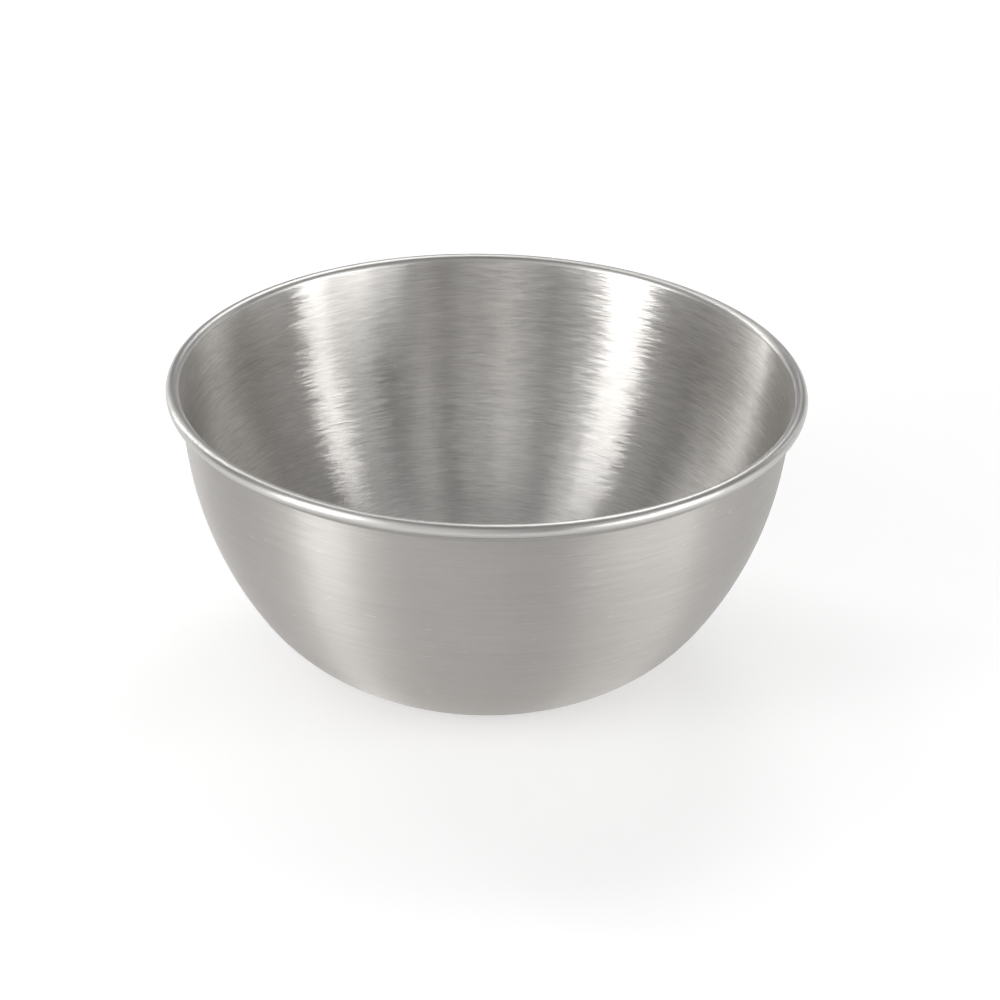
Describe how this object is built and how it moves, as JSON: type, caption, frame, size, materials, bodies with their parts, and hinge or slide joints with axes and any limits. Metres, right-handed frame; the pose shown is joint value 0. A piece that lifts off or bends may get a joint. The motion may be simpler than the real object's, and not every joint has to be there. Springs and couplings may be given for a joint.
{
  "type": "mixing bowl",
  "caption": "Deep round stainless steel mixing bowl with a flat base, flared sides and a rolled rim bead over a stiffening wire.",
  "frame": {"origin": "centre of the underside of the flat base, at the level that the bowl stands on", "axes": "+Z is the bowl's axis of revolution, pointing up through its mouth; X and Y are any two level directions"},
  "size_m": [0.24, 0.24, 0.1137],
  "materials": {
    "brushed_sheet": "stainless sheet with fine brush lines round the bowl, satin outside and a little glossier inside",
    "drawn_wire": "plain drawn stainless wire"
  },
  "bodies": {
    "root": {"bowl_shell": "brushed_sheet", "rim_wire": "drawn_wire"}
  },
  "joints": []
}
